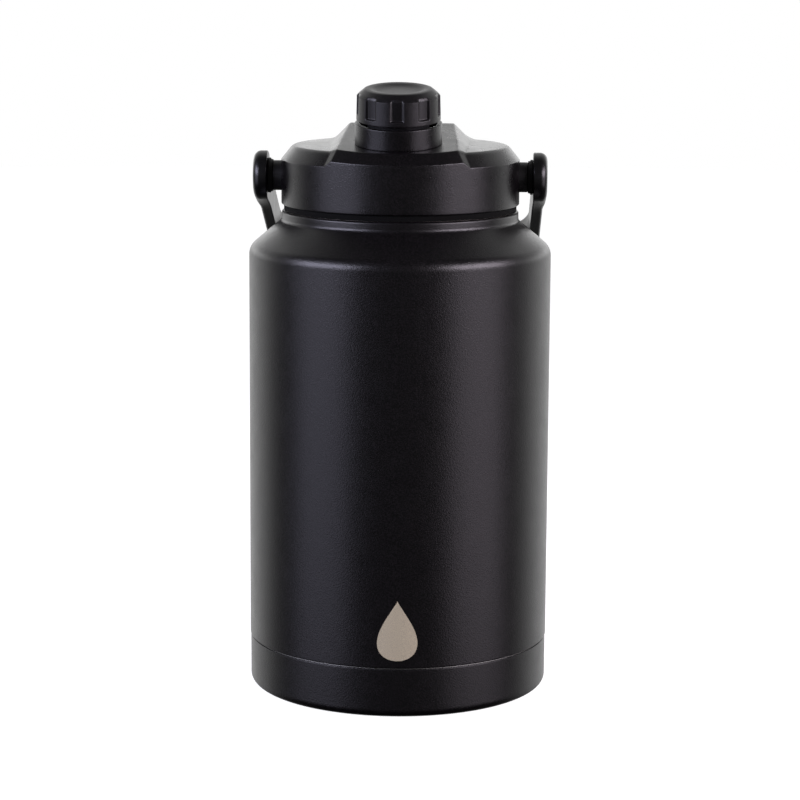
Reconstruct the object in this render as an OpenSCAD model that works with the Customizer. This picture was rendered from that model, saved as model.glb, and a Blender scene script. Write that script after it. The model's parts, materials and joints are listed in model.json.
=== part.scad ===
// Insulated steel water jug of about 3.8 litres: a double-wall vacuum body, a screw-in lid with a
// drinking spout, a screw cap on the spout, and a bail handle that swings on two pivots in the lid.
// Millimetres, +Z up, origin at the centre of the base. The spout points to -Y.

/* [Body] */
// Outer radius of the body
body_r = 78; // [77:0.5:80]
// Height of the corner between the body wall and the shoulder's cone
shoulder_z = 230; // [220:1:232]
// Radius of the bend over that corner
shoulder_r = 8; // [5:1:11]
// Outer radius of the neck
neck_r = 61; // [60.5:0.5:61.5]
// Height of the corner between the shoulder's cone and the neck
neck_foot = 244.3; // [243:0.1:245]
// Height of the top of the steel neck
neck_top = 249.2; // [249:0.1:249.6]
// Thickness of the steel sheet
sheet = 0.8; // [0.6:0.1:1]
// Height of the seam between the shell and the base cup
seam_z = 25.6; // [22:0.1:30]
// Outer radius of the base cup
base_r = 77.7; // [77.5:0.1:77.8]
// Radius of the base cup's foot
foot_r = 4.2; // [4:0.1:8]

/* [Lid] */
// Height of the underside of the lid ring
lid_z = 252.5; // [252.5:0.1:253]
// Outer radius of the lid ring
ring_r = 61.3; // [61:0.1:61.5]
// Height of the edge of the lid ring beside the deck
ring_top = 275.3; // [275:0.1:276]
// Height of the deck plane above the jug's axis
deck_h = 290.2; // [289:0.1:291]
// Slope of the deck in degrees, lower at the front
deck_tilt = 7.5; // [6:0.5:8]
// Half width of the deck's flat top at the front
deck_half = 30; // [28:0.5:31]
// Rise of the lid in one turn of its thread
lid_lead = 6; // [5.5:0.5:7]

/* [Spout and cap] */
// Distance of the spout's axis in front of the jug's axis
spout_y = -31; // [-32:0.5:-30]
// Inner radius of the spout
spout_bore = 13.8; // [13:0.1:14]
// Height of the spout's rim above the deck
spout_h = 22.8; // [22.7:0.1:22.9]
// Outer radius of the collar round the spout
collar_r = 22; // [21.8:0.1:22.5]
// Height of the collar above the deck
collar_h = 10.4; // [9:0.1:10.8]
// Outer radius of the cap at its foot
cap_r = 21.2; // [21:0.1:21.5]
// Height of the cap's foot above the deck
cap_foot = 12; // [11.8:0.1:12.1]
// Height of the cap's rim above the deck
cap_top = 27.9; // [27.8:0.1:28.5]
// Number of grip pockets round the cap
pockets = 9; // [6:1:12]
// Rise of the cap in one turn of its thread
cap_lead = 6; // [5.5:0.5:6.5]

/* [Handle] */
// Height of the handle's pivot axis
pivot_z = 266.4; // [266:0.1:267]
// Angle below horizontal at which the handle hangs behind the jug
hang = 28.5; // [26:0.5:28.5]
// Distance from the pivot axis to the inner face of the handle's bar
bar_dist = 94.6; // [94.6:0.2:98]
// Thickness of the handle's strap
strap_t = 6.1; // [5.5:0.1:7]
// Width of the handle's strap
strap_w = 18; // [16:0.5:18]
// Inner radius of the handle's two corners
corner_r = 30; // [25:1:40]
// Radius of the round eye at the end of each arm
eye_r = 12.7; // [12:0.1:13]

/* [Hidden] */
$fn = 120;
// inner vessel
shoulder_a = atan2(body_r - neck_r, neck_foot - shoulder_z);  // lean of the shoulder's cone
wall_top = shoulder_z - shoulder_r * tan(shoulder_a / 2);     // where the bend starts
neck_bend = 3;                           // radius of the bend from the cone into the neck
neck_start = neck_foot + neck_bend * tan(shoulder_a / 2);     // where it ends
hem = 0.3;                               // edge break of the shell at the seam
inner_r = body_r - 4.5;                  // outer radius of the inner vessel's wall
inner_floor = 13;                        // height of the underside of the inner vessel's floor
inner_corner = 12;                       // radius of the corner between its floor and wall
// bottom of the vacuum jacket
plate_z = 6.5;                           // height of the plate's underside
plate_corner = 14;                       // radius of the corner between the plate and its rim
plate_top = seam_z + 3.3;                // height of its rim, inside the shell's lower edge
vent_r = 2;                              // radius of the hole through which the air is drawn out
mouth_r = 57.2;                          // inner radius of the neck
lip_r = 59.6;                            // outer radius of the bare steel lip of the mouth
lip_top = neck_top + 1;                  // height of the lip, on which the gasket sits
// threads
rib_gap = 0.45;                          // radial clearance between a rib's crest and its partner
rib_h = 1.7;                             // height of the lid's and the neck's ribs
rib_root = 2.2;                          // width of a rib at its root
rib_crest = 1.1;                         // width of a rib at its crest
rib_slack = 0.35;                        // axial clearance between meshing flanks
lid_rib_z = 238.8;                       // centre height of the start of the neck's rib
lid_rib_turns = 1.25;
plug_r = mouth_r - rib_h - rib_gap - 0.1;  // outer radius of the lid's plug
plug_bottom = 232;                       // height of the plug's underside
cap_rib_z = 15.6;                        // height of the start of the spout's rib above the deck
cap_rib_turns = 1;
cap_rib_h = 1.4;                         // height of the cap's and the spout's ribs
spout_r = spout_bore + 1.8;              // outer radius of the spout
liner_bore = spout_r + cap_rib_h + rib_gap;
liner_r = liner_bore + 1.4;              // outer radius of the cap's liner
liner_top = spout_h + 2.3;               // height of the liner's roof above the deck
liner_cone = 3;                          // radial width of the liner's conical shoulder
// lid shell
lid_wall = 3.8;                          // thickness of the lid's ring
wing_r = 55.5;                           // radius of the rim of the lid's low side wings
wing_z = 282.5;                          // height of the wings' rim
front_ring_top = 277.2;                  // height of the ring's edge in front of the deck
deck_front_r = 56.7;                     // radius of the deck's front edge
deck_crest_y = 19;                       // where the deck is highest
deck_fall = 10;                          // slope of the deck behind its crest, in degrees
deck_half_crest = 27;                    // half width of its flat top at the crest
lid_cavity_top = 277.8;                  // height of the roof over the foam
// pivots: radii, and distances from the jug's axis along X
boss_r = 7.7;
boss_end = 65.6;
washer_end = 68.1;
washer_r = 9;
pin_r = 4.5;                             // shoulder of the pivot screw
run_gap = 0.05;                          // radial clearance of the running fit
eye_in = 68.2;                           // inner face of the handle's eye
eye_out = 75.5;                          // outer face of the eye
core_in = 70.7;                          // inner face of the steel strap inside the handle
core_t = 2.4;                            // its thickness
core_w = 11;                             // its width
screw_head_r = 5.8;
screw_head_t = 1.4;
screw_r = 3;
screw_tip = 57.2;
cover_r = 6.35;                          // disc over the screw's head
cover_t = 0.8;
arm_lean = 1;                            // degrees by which each arm leans inwards
eye_flat = 10;                           // distance from the pivot where its flat inner face ends
eye_taper = 26;                          // distance from the pivot where the plain strap starts

function deck_z(y) = deck_h + y * tan(deck_tilt);

// Points of an arc from angle a0 to a1 about (x, y)
function arc(x, y, r, a0, a1, n = 8) =
    [for (i = [0:n]) [x + r * cos(a0 + (a1 - a0) * i / n), y + r * sin(a0 + (a1 - a0) * i / n)]];

// One ring of four corners of a thread rib: root inside the wall, crest towards the other part
function rib_ring(root, crest, a, z) = [
    [root * cos(a), root * sin(a), z - rib_root / 2],
    [crest * cos(a), crest * sin(a), z - rib_crest / 2],
    [crest * cos(a), crest * sin(a), z + rib_crest / 2],
    [root * cos(a), root * sin(a), z + rib_root / 2]];

// Right-handed helical rib from radius root to radius crest, running out at both ends
module thread_rib(root, crest, z, lead, turns, start = 0) {
    steps = round(48 * turns);
    fade = 4;                            // steps over which each end grows to full height
    points = [for (i = [0:steps])
        let (grow = min(1, (i + 0.3) / fade, (steps - i + 0.3) / fade),
            a = start + 360 * turns * i / steps)
        each rib_ring(root, root + (crest - root) * grow, a, z + lead * turns * i / steps)];
    inward = crest < root;
    faces = [[0, 1, 2, 3], [for (k = [3:-1:0]) 4 * steps + k],
        for (i = [0:steps - 1], k = [0:3])
            let (b = 4 * i, m = (k + 1) % 4)
            each [[b + k, b + k + 4, b + m], [b + m, b + k + 4, b + m + 4]]];
    polyhedron(points, inward ? faces : [for (f = faces) [for (q = [len(f) - 1:-1:0]) f[q]]]);
}

// Places its children on the deck, on the spout's tilted axis
module on_spout() {
    translate([0, spout_y, deck_z(spout_y)]) rotate([deck_tilt, 0, 0]) children();
}

// Places its children in the handle's plane: X across, Y out from the pivot axis, Z across the strap
module in_handle() {
    translate([0, 0, pivot_z]) rotate([-hang, 0, 0]) children();
}

// A cylinder along +X (side = 1) or -X (side = -1) between two distances from the axis
module along_x(side, r, x0, x1) {
    translate([side * x0, 0, pivot_z]) rotate([0, side * 90, 0]) cylinder(r = r, h = x1 - x0);
}

// ---- body ----

// Outline of the jacket from the seam to the neck, at distance d inside the outer face
function jacket_outline(d) = concat(
    [[body_r - hem - d, seam_z + 0.3], [body_r - d, seam_z + 0.3 + hem]],
    arc(body_r - shoulder_r, wall_top, shoulder_r - d, 0, shoulder_a, 8),
    arc(neck_r + neck_bend, neck_start, neck_bend + d, 180 + shoulder_a, 180, 6));

module outer_shell() {
    outside = concat(jacket_outline(0), arc(neck_r - 1.4, neck_top - 1.4, 1.4, 0, 90, 6),
        [[mouth_r + sheet + 0.1, neck_top], [mouth_r + sheet + 0.1, neck_top - sheet],
            [neck_r - 1.4, neck_top - sheet]]);
    inside = concat([[neck_r - sheet, neck_top - 1.4]],
        [for (i = [len(jacket_outline(0)) - 1:-1:0]) jacket_outline(sheet)[i]]);
    color("#2b2b2e") rotate_extrude() polygon(concat(outside, inside));
}

// Cup pressed over the foot of the jug: rounded foot, flat standing ring and a recessed bottom
module base_cup() {
    ring_in = 66;                        // inner radius of the ring on which the jug stands
    recess = 2.4;
    corner = base_r - foot_r;
    outside = concat([[0, recess], [ring_in - 4, recess], [ring_in, 0]],
        arc(corner, foot_r, foot_r, -90, 0, 10), [[base_r, seam_z - 0.3]]);
    inside = concat([[base_r - sheet, seam_z - 0.3]],
        arc(corner, foot_r, foot_r - sheet, 0, -90, 10),
        [[ring_in + 0.3, sheet], [ring_in - 3.7, recess + sheet], [0, recess + sheet]]);
    color("#2b2b2e") rotate_extrude() polygon(concat(outside, inside));
}

// Bottom of the vacuum jacket, a dished plate welded inside the foot of the shell
module jacket_bottom() {
    r = body_r - hem - sheet - 0.1;
    corner_x = r - plate_corner;
    corner_z = plate_z + plate_corner;
    outside = concat([[0, plate_z]], arc(corner_x, corner_z, plate_corner, -90, 0, 8),
        [[r, plate_top]]);
    inside = concat([[r - sheet, plate_top]],
        arc(corner_x, corner_z, plate_corner - sheet, 0, -90, 8), [[0, plate_z + sheet]]);
    color("#a8a9a6") difference() {
        rotate_extrude() polygon(concat(outside, inside));
        translate([0, 0, plate_z - 1]) cylinder(r = vent_r, h = sheet + 2);
    }
}

// Solder plug that closes the hole through which the air was drawn out
module vacuum_seal() {
    pad_r = 5;
    pad_t = 1.2;
    color("#7d7f80") union() {
        translate([0, 0, plate_z - 0.2]) cylinder(r = vent_r - 0.1, h = sheet + 0.4);
        translate([0, 0, plate_z - pad_t]) cylinder(r = pad_r, h = pad_t);
    }
}

// Small getter box on the floor of the vacuum space
module getter() {
    off_axis = 34;                       // distance of the box from the jug's axis
    color("#8d8f90") translate([off_axis, 0, plate_z + sheet + 0.1]) cylinder(r = 5.5, h = 3.2);
}

// Outline of the inner vessel at distance d inside its outer face, from the floor's centre up
function vessel_outline(d) = concat(
    [[0, inner_floor + d]],
    arc(inner_r - inner_corner, inner_floor + inner_corner, inner_corner - d, -90, 0, 8),
    [[inner_r - d, shoulder_z - 6 + d * 0.3],
        [inner_r - 2.2 - d, shoulder_z - 0.4 - d * 0.6],
        [inner_r - 9.5 - d * 0.7, shoulder_z + 5.6 - d],
        [mouth_r + sheet + 1.2 - d, neck_foot - 7.7 - d * 0.6],
        [mouth_r + sheet - d, neck_foot - 5.3]]);

module inner_vessel() {
    outside = concat(vessel_outline(0), [[mouth_r + sheet, neck_top], [lip_r, neck_top]],
        arc(lip_r - 0.4, lip_top - 0.4, 0.4, 0, 90, 3));
    inside = concat([[mouth_r + 0.5, lip_top], [mouth_r, lip_top - 0.5]],
        [for (i = [len(vessel_outline(0)) - 1:-1:0]) vessel_outline(sheet)[i]]);
    color("#b9b8b4") union() {
        rotate_extrude() polygon(concat(outside, inside));
        thread_rib(mouth_r + sheet * 0.5, mouth_r - rib_h, lid_rib_z, lid_lead, lid_rib_turns);
    }
}

// ---- lid ----

// Silicone ring between the lid and the lip of the mouth
module lid_gasket() {
    color("#1b1b1c") rotate_extrude() polygon([[plug_r + 0.6, lip_top + 0.3], [mouth_r, lip_top],
        [59.2, lip_top], [59.2, lid_z], [plug_r + 0.6, lid_z]]);
}

// Round part of the lid: the ring and the chamfer up to the low side wings
module lid_round() {
    edge = 1;                            // edge break under the ring
    rotate_extrude() polygon([[0, lid_z], [ring_r - edge, lid_z], [ring_r, lid_z + edge],
        [ring_r, ring_top - 0.2], [ring_r - 0.2, ring_top + 0.2], [wing_r + 0.3, wing_z - 0.3],
        [wing_r - 0.5, wing_z], [0, wing_z + 1.2]]);
}

// Raised band that runs from front to back over the lid and carries the spout
module lid_deck() {
    crest = deck_z(deck_crest_y);
    front = deck_z(-48);                 // height of its two front corners
    slope = (deck_z(-deck_front_r) - front_ring_top) / (ring_r - deck_front_r);
    intersection() {
        // round edge, chamfered up from the ring
        rotate_extrude() polygon([[0, ring_top - 6], [ring_r, ring_top - 6],
            [ring_r, front_ring_top], [ring_r - 20 / slope, front_ring_top + 20],
            [0, front_ring_top + 20]]);
        // side outline: up to the crest and down behind it
        rotate([90, 0, 90]) linear_extrude(height = 120, center = true)
            polygon([[-62, ring_top - 8], [62, ring_top - 8],
                [62, crest - (62 - deck_crest_y) * tan(deck_fall)],
                [deck_crest_y + 2, crest - 0.3], [deck_crest_y - 2, deck_z(deck_crest_y - 2)],
                [-62, deck_z(-62)]]);
        // cross outline: flanks that spread towards the wings
        rotate([90, 0, 0]) linear_extrude(height = 130, center = true)
            polygon([for (side = [-1, 1]) each let (half = [
                [deck_half + 5, ring_top - 8], [deck_half + 3.6, wing_z],
                [deck_half, front], [deck_half_crest, crest], [deck_half_crest - 1, crest + 3]])
                [for (i = [0:4]) let (p = half[side > 0 ? i : 4 - i]) [side * p[0], p[1]]]]);
    }
}

module lid_shell() {
    cavity_r = ring_r - lid_wall;
    color("#343437") difference() {
        union() {
            lid_round();
            lid_deck();
        }
        // cavity for the foam
        rotate_extrude() polygon([[0, lid_z - 1], [cavity_r, lid_z - 1], [cavity_r, ring_top - 2.5],
            [wing_r - 2.5, lid_cavity_top], [0, lid_cavity_top]]);
        on_spout() translate([0, 0, -20]) cylinder(r = spout_r + 0.2, h = 40);
        for (side = [-1, 1]) along_x(side, boss_r + run_gap, 50, 70);
    }
}

// Threaded plug that screws into the neck, welded to the underside of the lid
module lid_liner() {
    weld_r = ring_r - lid_wall - 0.1;
    color("#2f2f31") union() {
        difference() {
            rotate_extrude() polygon([[0, plug_bottom], [plug_r - 2, plug_bottom],
                [plug_r, plug_bottom + 2], [plug_r, lid_z], [weld_r, lid_z], [weld_r, lid_z + 3],
                [plug_r, lid_z + 3], [plug_r, lid_z + 4], [plug_r - 2, lid_z + 4],
                [plug_r - 2, plug_bottom + 2.5], [0, plug_bottom + 2.5]]);
            on_spout() translate([0, 0, -70]) cylinder(r = spout_r + 0.2, h = 50);
        }
        thread_rib(plug_r - 0.8, plug_r + rib_h, lid_rib_z - rib_root / 2 - rib_crest / 2
            - rib_slack, lid_lead, lid_rib_turns);
    }
}

// Block of insulating foam that fills the lid
module lid_foam() {
    foam_r = plug_r - 2.3;
    color("#e3ddcb") difference() {
        translate([0, 0, plug_bottom + 2.7])
            cylinder(r = foam_r, h = lid_cavity_top - plug_bottom - 3);
        on_spout() translate([0, 0, -70]) cylinder(r = spout_r + 0.4, h = 90);
        for (side = [-1, 1]) along_x(side, 10.2, foam_r - 1.5, foam_r + 5);
    }
}

// ---- spout ----

module spout_tube() {
    foot = -(deck_z(spout_y) - plug_bottom - 0.4);
    color("#39393c") on_spout() union() {
        rotate_extrude() polygon([[spout_bore, foot], [spout_r, foot], [spout_r, 1.1],
            [collar_r - 2.6, 1.1], [collar_r - 2.6, 3], [spout_r, 3], [spout_r, spout_h - 0.6],
            [spout_r - 0.6, spout_h], [spout_bore + 0.6, spout_h], [spout_bore, spout_h - 0.6]]);
        thread_rib(spout_r - 0.6, spout_r + cap_rib_h, cap_rib_z, cap_lead, cap_rib_turns);
    }
}

// Flat silicone ring under the spout's flange
module spout_seal() {
    color("#1b1b1c") on_spout() difference() {
        cylinder(r = collar_r - 2.8, h = 1.1);
        translate([0, 0, -1]) cylinder(r = spout_r + 0.3, h = 3);
    }
}

// Collar round the foot of the spout
module spout_collar() {
    wall = 2.4;
    edge = 0.4;                          // edge breaks
    color("#2c2c2e") on_spout() rotate_extrude() polygon([[collar_r - wall, 0],
        [collar_r - edge, 0], [collar_r, edge], [collar_r, collar_h - edge],
        [collar_r - edge, collar_h], [collar_r - wall, collar_h]]);
}

// ---- cap ----

module cap_shell() {
    dish_r = 13.2;
    dish = 1.4;
    pad_top = 24.2;                      // height of the top of the grip pads above the deck
    pocket_r = 6;
    pocket_depth = 1.1;
    pocket_low = 2.6;                    // height of the pockets' floor above the cap's foot
    pocket_h = 11;
    bore = liner_r + 0.1;
    color("#2d2d30") on_spout() difference() {
        rotate_extrude() polygon([[bore, cap_foot], [cap_r - 0.5, cap_foot], [cap_r, cap_foot + 0.5],
            [cap_r - 0.3, pad_top], [cap_r - 1.8, cap_top - 2.2], [cap_r - 3, cap_top - 1],
            [cap_r - 4.6, cap_top - 0.2], [cap_r - 6.2, cap_top], [dish_r, cap_top - 0.3],
            [dish_r - 1, cap_top - 0.8], [dish_r / 2, cap_top - dish], [0, cap_top - dish],
            [0, liner_top + 0.1], [bore - liner_cone, liner_top + 0.1],
            [bore, liner_top + 0.1 - liner_cone * 0.9]]);
        for (i = [0:pockets - 1]) rotate([0, 0, -90 + i * 360 / pockets])
            translate([cap_r + pocket_r - pocket_depth, 0, cap_foot + pocket_low])
                cylinder(r = pocket_r, h = pocket_h);
    }
}

// Threaded liner inside the cap
module cap_liner() {
    roof = liner_top - 1.2;
    bore_top = 15.7;                     // radius of the bore above its cone
    color("#3a3a3d") on_spout() union() {
        rotate_extrude() polygon([[liner_bore, cap_foot + 0.4], [liner_r, cap_foot + 0.4],
            [liner_r, liner_top - liner_cone * 0.9], [liner_r - liner_cone, liner_top],
            [0, liner_top], [0, roof], [bore_top, roof], [bore_top, roof - 0.4],
            [liner_bore, roof - 2]]);
        thread_rib(liner_bore + 0.6, liner_bore - cap_rib_h, cap_rib_z - rib_root / 2
            - rib_crest / 2 - rib_slack, cap_lead, cap_rib_turns);
    }
}

// Silicone disc in the cap that closes the spout's rim
module cap_seal() {
    color("#1b1b1c") on_spout() translate([0, 0, spout_h]) cylinder(r = spout_r - 0.1, h = 1);
}

// ---- handle ----

// Half of a U-shaped outline at distance d outside the strap's inner face, from the end of the eye
// to the bar; it is straight past the pivot for a distance flat, and extra thicker there
function u_half(d, flat, extra = 0) = let (
        straight = bar_dist - corner_r,
        centre_x = eye_in - straight * tan(arm_lean) - corner_r / cos(arm_lean))
    concat([[eye_in + d + extra, -eye_r], [eye_in + d + extra, flat],
        [eye_in + d - eye_taper * tan(arm_lean), eye_taper]],
        arc(centre_x, straight, corner_r + d, arm_lean, 90, 14));

function mirrored(points) = [for (i = [len(points) - 1:-1:0]) [-points[i][0], points[i][1]]];

// U-shaped outline between the distances d0 and d1 outside the strap's inner face
module u_outline(d0, d1, extra = 0) {
    inner = u_half(d0, eye_flat);
    outer = u_half(d1, extra > 0 ? 0 : eye_flat, extra);
    polygon(concat(outer, mirrored(outer), [for (p = inner) [-p[0], p[1]]],
        [for (i = [len(inner) - 1:-1:0]) inner[i]]));
}

// Side outline of the handle: a round eye that narrows into the strap
module handle_side(r, w) {
    reach = bar_dist + 20;
    tangent = 4;                         // where the flanks leave the eye
    rise = sqrt(r * r - tangent * tangent);
    circle(r = r);
    polygon([[0, -r + 1], [tangent, -rise], [eye_taper, -w / 2], [reach, -w / 2],
        [reach, w / 2], [eye_taper, w / 2], [tangent, rise], [0, r - 1]]);
}

// The part of an outline in the handle's plane that lies inside its side outline
module handle_body(r, w) {
    intersection() {
        linear_extrude(height = 40, center = true) children();
        rotate([90, 0, 90]) linear_extrude(height = 200, center = true) handle_side(r, w);
    }
}

module core_blank() {
    handle_body(eye_r - 3.5, core_w)
        u_outline(core_in - eye_in, core_in - eye_in + core_t);
}

// Steel strap moulded into the handle
module handle_core() {
    color("#9a9a98") in_handle() difference() {
        core_blank();
        rotate([0, 90, 0]) cylinder(r = pin_r + run_gap, h = 200, center = true);
    }
}

// Moulded skin of the handle
module handle_grip() {
    color("#2f2f32") in_handle() difference() {
        handle_body(eye_r, strap_w) u_outline(0, strap_t, eye_out - eye_in - strap_t);
        core_blank();
        rotate([0, 90, 0]) cylinder(r = pin_r + 0.5, h = 200, center = true);
        for (side = [0, 180]) rotate([0, 90, side])
            translate([0, 0, core_in + core_t]) cylinder(r = cover_r + run_gap, h = 20);
    }
}

// Disc that covers the pivot screw's head, flush with the outside of the eye
module eye_cover(side) {
    color("#29292b") along_x(side, cover_r, eye_out - cover_t, eye_out);
}

// ---- pivots ----

// Stub on the side of the lid ring that carries the handle, with a flange inside the ring
module pivot_boss(side) {
    flange_in = 54.2;                    // distance of the flange's inner face from the axis
    flange_flat = 5.2;                   // distance of its flats from the pivot axis
    color("#303033") difference() {
        union() {
            along_x(side, boss_r, flange_in + 1, boss_end);
            // flange with flats above and below, which keep it from turning
            intersection() {
                along_x(side, boss_r + 2, flange_in, flange_in + 2.1);
                translate([side * flange_in, 0, pivot_z])
                    cube([20, 40, 2 * flange_flat], center = true);
            }
        }
        along_x(side, screw_r + run_gap, screw_tip - 0.4, boss_end + 1);
    }
}

module pivot_washer(side) {
    color("#1f1f21") difference() {
        along_x(side, washer_r, boss_end, washer_end);
        along_x(side, pin_r + run_gap, boss_end - 1, washer_end + 1);
    }
}

// Shoulder screw on which the eye turns
module pivot_screw(side) {
    head_in = core_in + core_t + 0.1;
    color("#b5b5b3") union() {
        along_x(side, screw_r, screw_tip, boss_end + 1);
        along_x(side, pin_r, boss_end, head_in + 1);
        along_x(side, screw_head_r, head_in, head_in + screw_head_t);
    }
}

outer_shell();
base_cup();
jacket_bottom();
vacuum_seal();
getter();
inner_vessel();
lid_gasket();
lid_shell();
lid_liner();
lid_foam();
spout_tube();
spout_seal();
spout_collar();
cap_shell();
cap_liner();
cap_seal();
handle_core();
handle_grip();
eye_cover(-1);  // eye_cover_left
eye_cover(1);  // eye_cover_right
pivot_boss(-1);  // pivot_boss_left
pivot_boss(1);  // pivot_boss_right
pivot_washer(-1);  // pivot_washer_left
pivot_washer(1);  // pivot_washer_right
pivot_screw(-1);  // pivot_screw_left
pivot_screw(1);  // pivot_screw_right
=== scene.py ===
"""Looks of the insulated water jug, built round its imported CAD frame. Sizes named here are in millimetres."""

import json
import math

import bmesh
import bpy
import numpy as np
from mathutils import Matrix, Vector

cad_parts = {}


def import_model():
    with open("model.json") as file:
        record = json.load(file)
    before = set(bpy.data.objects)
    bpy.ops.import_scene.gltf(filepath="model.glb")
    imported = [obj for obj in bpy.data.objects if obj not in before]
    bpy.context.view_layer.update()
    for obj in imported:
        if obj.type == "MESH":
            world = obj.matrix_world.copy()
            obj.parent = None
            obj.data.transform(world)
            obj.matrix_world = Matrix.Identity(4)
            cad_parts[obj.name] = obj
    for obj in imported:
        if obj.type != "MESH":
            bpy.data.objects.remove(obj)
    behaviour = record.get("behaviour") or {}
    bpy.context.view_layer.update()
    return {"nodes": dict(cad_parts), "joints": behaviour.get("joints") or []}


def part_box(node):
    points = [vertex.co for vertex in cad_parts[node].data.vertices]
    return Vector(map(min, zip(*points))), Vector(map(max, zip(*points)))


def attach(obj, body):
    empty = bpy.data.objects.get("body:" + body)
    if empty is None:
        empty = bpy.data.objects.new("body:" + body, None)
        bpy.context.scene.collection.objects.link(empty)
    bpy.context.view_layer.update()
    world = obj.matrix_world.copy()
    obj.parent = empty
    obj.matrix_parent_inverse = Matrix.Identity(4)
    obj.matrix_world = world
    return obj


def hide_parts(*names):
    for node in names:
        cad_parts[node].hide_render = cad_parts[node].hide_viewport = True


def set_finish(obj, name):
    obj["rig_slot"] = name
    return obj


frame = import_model()

MM = 0.001
ROUND = 240  # segments round a large lathed piece


# ---- places taken from the frame ----


def span(node):
    """Lowest and highest corner of a CAD node, in millimetres."""
    low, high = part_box(node)
    return [c / MM for c in low], [c / MM for c in high]


def joint(name):
    """The record of one joint."""
    return next(j for j in frame["joints"] if j["name"] == name)


SHELL_LOW, SHELL_HIGH = span("outer_shell")
LID_LOW, LID_HIGH = span("lid_shell")
CUP_HIGH = span("base_cup")[1]
BODY_R = SHELL_HIGH[0]
BASE_R = CUP_HIGH[0]
NECK_TOP = SHELL_HIGH[2]
RING_R = LID_HIGH[0]
LID_Z = LID_LOW[2]
PIVOT_Z = joint("handle_swing")["pos_m"][2] / MM
SPOUT_AXIS = Vector(joint("cap_turn")["axis"]).normalized()
SPOUT_TILT = math.atan2(-SPOUT_AXIS.y, SPOUT_AXIS.z)
SPOUT_Y = -31.0
DECK_H = 290.2


def deck_z(y):
    """Height of the deck's plane at a distance y behind the jug's axis."""
    return DECK_H + y * math.tan(SPOUT_TILT)


# ---- mesh tools ----


def make(name, verts, faces, body, slot, replaced=(), sharp=35):
    """A shaded mesh object from points in millimetres, riding on a body."""
    mesh = bpy.data.meshes.new(name)
    mesh.from_pydata([Vector(v) * MM for v in verts], [], faces)
    mesh.validate()
    work = bmesh.new()
    work.from_mesh(mesh)
    bmesh.ops.remove_doubles(work, verts=work.verts, dist=1e-7)
    bmesh.ops.recalc_face_normals(work, faces=work.faces)
    work.to_mesh(mesh)
    work.free()
    piece = bpy.data.objects.new(name, mesh)
    bpy.context.scene.collection.objects.link(piece)
    shade(piece, sharp)
    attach(piece, body)
    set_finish(piece, slot)
    if replaced:
        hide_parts(*replaced)
    return piece


def shade(piece, sharp=35):
    """Smooth shading that breaks only at edges steeper than sharp degrees."""
    mesh = piece.data
    mesh.polygons.foreach_set("use_smooth", [True] * len(mesh.polygons))
    mesh.set_sharp_from_angle(angle=math.radians(sharp))


def arc_points(a, corner, b, radius, steps):
    """Points of the fillet of one corner between its neighbours a and b."""
    pa, pc, pb = Vector(a), Vector(corner), Vector(b)
    to_a, to_b = (pa - pc), (pb - pc)
    reach = min(to_a.length, to_b.length) * 0.499
    to_a.normalize()
    to_b.normalize()
    half = math.acos(max(-1, min(1, to_a.dot(to_b)))) / 2
    if half > math.radians(89.9):
        return [tuple(corner)]
    cut = min(radius / math.tan(half), reach)
    radius = cut * math.tan(half)
    centre = pc + (to_a + to_b).normalized() * (radius / math.sin(half))
    start, end = pc + to_a * cut - centre, pc + to_b * cut - centre
    turn = start.angle_signed(end) if len(start) == 2 else 0
    points = []
    for i in range(steps + 1):
        c, s = math.cos(-turn * i / steps), math.sin(-turn * i / steps)
        points.append((centre.x + c * start.x - s * start.y, centre.y + s * start.x + c * start.y))
    return points


def rounded(outline, steps=5, closed=True):
    """An outline of (x, y, fillet radius) corners as plain points, with its corners rounded."""
    out = []
    for i, (x, y, radius) in enumerate(outline):
        if radius <= 0 or (not closed and i in (0, len(outline) - 1)):
            out.append((x, y))
            continue
        before, after = outline[i - 1][:2], outline[(i + 1) % len(outline)][:2]
        out += arc_points(before, (x, y), after, radius, steps)
    return out


def supported(points, closed=True, reach=0.8, long=5):
    """The points of a profile with one more near each end of its long straight stretches."""
    out = []
    count = len(points)
    for i, point in enumerate(points):
        out.append(point)
        if i == count - 1 and not closed:
            break
        here, there = Vector(point), Vector(points[(i + 1) % count])
        length = (there - here).length
        if length > long:
            for along in (reach, length - reach):
                out.append(tuple(here.lerp(there, along / length)))
    return out


def lathe_data(profile, segments=ROUND, closed=True):
    """Points and faces of a profile of (r, z) turned about Z. Points on the axis become poles."""
    verts, faces, rings = [], [], []
    for r, z in profile:
        if r < 1e-6:
            rings.append([len(verts)])
            verts.append((0, 0, z))
            continue
        rings.append(list(range(len(verts), len(verts) + segments)))
        for i in range(segments):
            a = 2 * math.pi * i / segments
            verts.append((r * math.cos(a), r * math.sin(a), z))
    count = len(rings) if closed else len(rings) - 1
    for k in range(count):
        low, high = rings[k], rings[(k + 1) % len(rings)]
        if len(low) == 1 and len(high) == 1:
            continue
        for i in range(segments):
            j = (i + 1) % segments
            if len(low) == 1:
                faces.append((low[0], high[j], high[i]))
            elif len(high) == 1:
                faces.append((low[i], low[j], high[0]))
            else:
                faces.append((low[i], low[j], high[j], high[i]))
    return verts, faces


def lathe(name, outline, body, slot, replaced=(), place=None, segments=ROUND, steps=5, closed=True):
    """A turned piece from an outline of (r, z, fillet) corners, put in place by a matrix."""
    verts, faces = lathe_data(supported(rounded(outline, steps, closed), closed), segments, closed)
    if place is not None:
        verts = [place @ Vector(v) for v in verts]
    return make(name, verts, faces, body, slot, replaced)


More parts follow.
